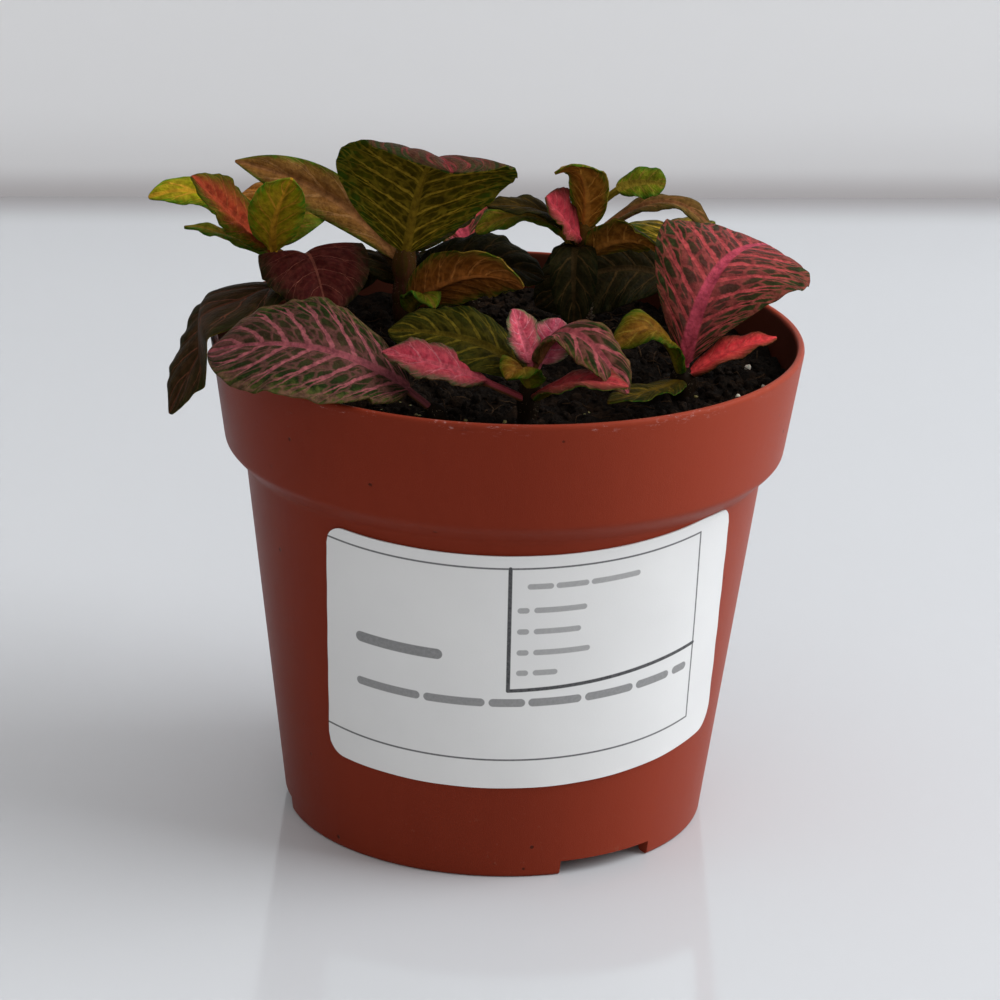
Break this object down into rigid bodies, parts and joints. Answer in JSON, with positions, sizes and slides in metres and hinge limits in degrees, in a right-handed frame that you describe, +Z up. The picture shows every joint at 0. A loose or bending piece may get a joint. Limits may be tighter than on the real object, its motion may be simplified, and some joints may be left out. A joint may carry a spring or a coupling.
{
  "type": "potted nerve plant",
  "caption": "Low creeping house plant with pink-veined leaves in a tapered plastic nursery pot with a stepped rim and a blank adhesive label.",
  "frame": {"origin": "middle of the whole plant's box at the height of the table", "axes": "+Z up, -Y towards the front, where the label is"},
  "size_m": [0.0948, 0.0928, 0.1021],
  "materials": {
    "pot": "satin terracotta-coloured moulded plastic",
    "soil": "dark fibrous peat compost",
    "label": "smooth white adhesive paper",
    "foliage": "soft leaf surface with pink net veins"
  },
  "bodies": {
    "root": {"pot": "pot", "soil": "soil", "label": "label", "stem_left": "foliage", "stem_mid_left": "foliage", "stem_back": "foliage", "stem_right": "foliage", "stem_front": "foliage", "stem_front_left": "foliage", "stem_rear_left": "foliage", "stem_rear_right": "foliage"}
  },
  "joints": []
}
